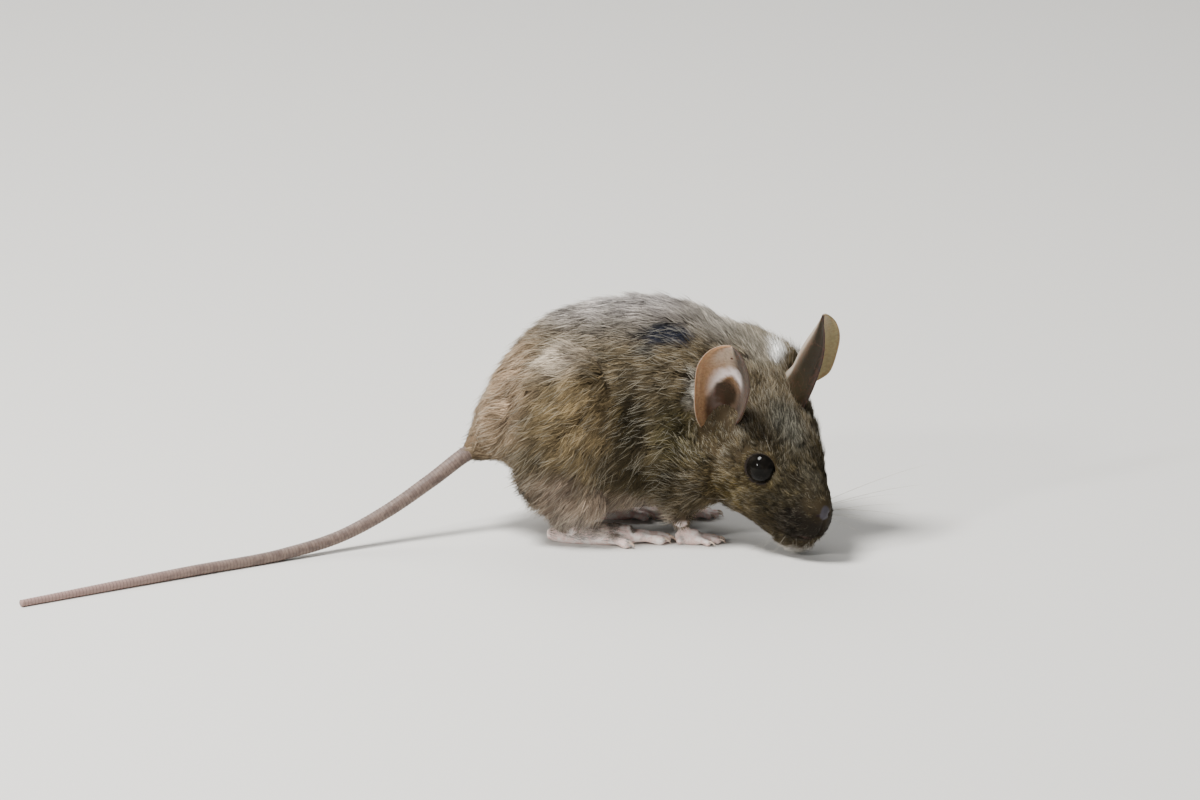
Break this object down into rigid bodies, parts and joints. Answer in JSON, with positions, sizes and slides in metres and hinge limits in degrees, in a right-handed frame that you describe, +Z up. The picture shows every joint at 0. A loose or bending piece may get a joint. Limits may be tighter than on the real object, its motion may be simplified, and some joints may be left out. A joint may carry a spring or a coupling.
{
  "type": "house mouse",
  "caption": "Young house mouse sitting hunched on its feet, head turned to its right and lowered, long tail trailing back along the floor; still museum model.",
  "frame": {"origin": "on the floor under the middle of the whole animal, tail included", "axes": "+X the way the body faces, +Y its left, +Z up"},
  "size_m": [0.0898, 0.0424, 0.0282],
  "materials": {
    "coat": "short agouti fur, grey-brown with sandy and silver hair tips, pale grey belly",
    "bare_skin": "thin pinkish skin with fine short hairs on ears, feet and ringed tail",
    "eye": "wet glossy black"
  },
  "bodies": {
    "root": {"head": "coat", "neck": "coat", "trunk": "coat", "hind_leg_right": "coat", "hind_leg_left": "coat", "foreleg_right": "coat", "foreleg_left": "coat", "hind_foot_right": "bare_skin", "hind_foot_left": "bare_skin", "forefoot_right": "bare_skin", "forefoot_left": "bare_skin", "ear_right": "bare_skin", "ear_left": "bare_skin", "tail_base": "bare_skin", "tail_middle": "bare_skin", "tail_tip": "bare_skin", "eye_right": "eye", "eye_left": "eye"}
  },
  "joints": []
}
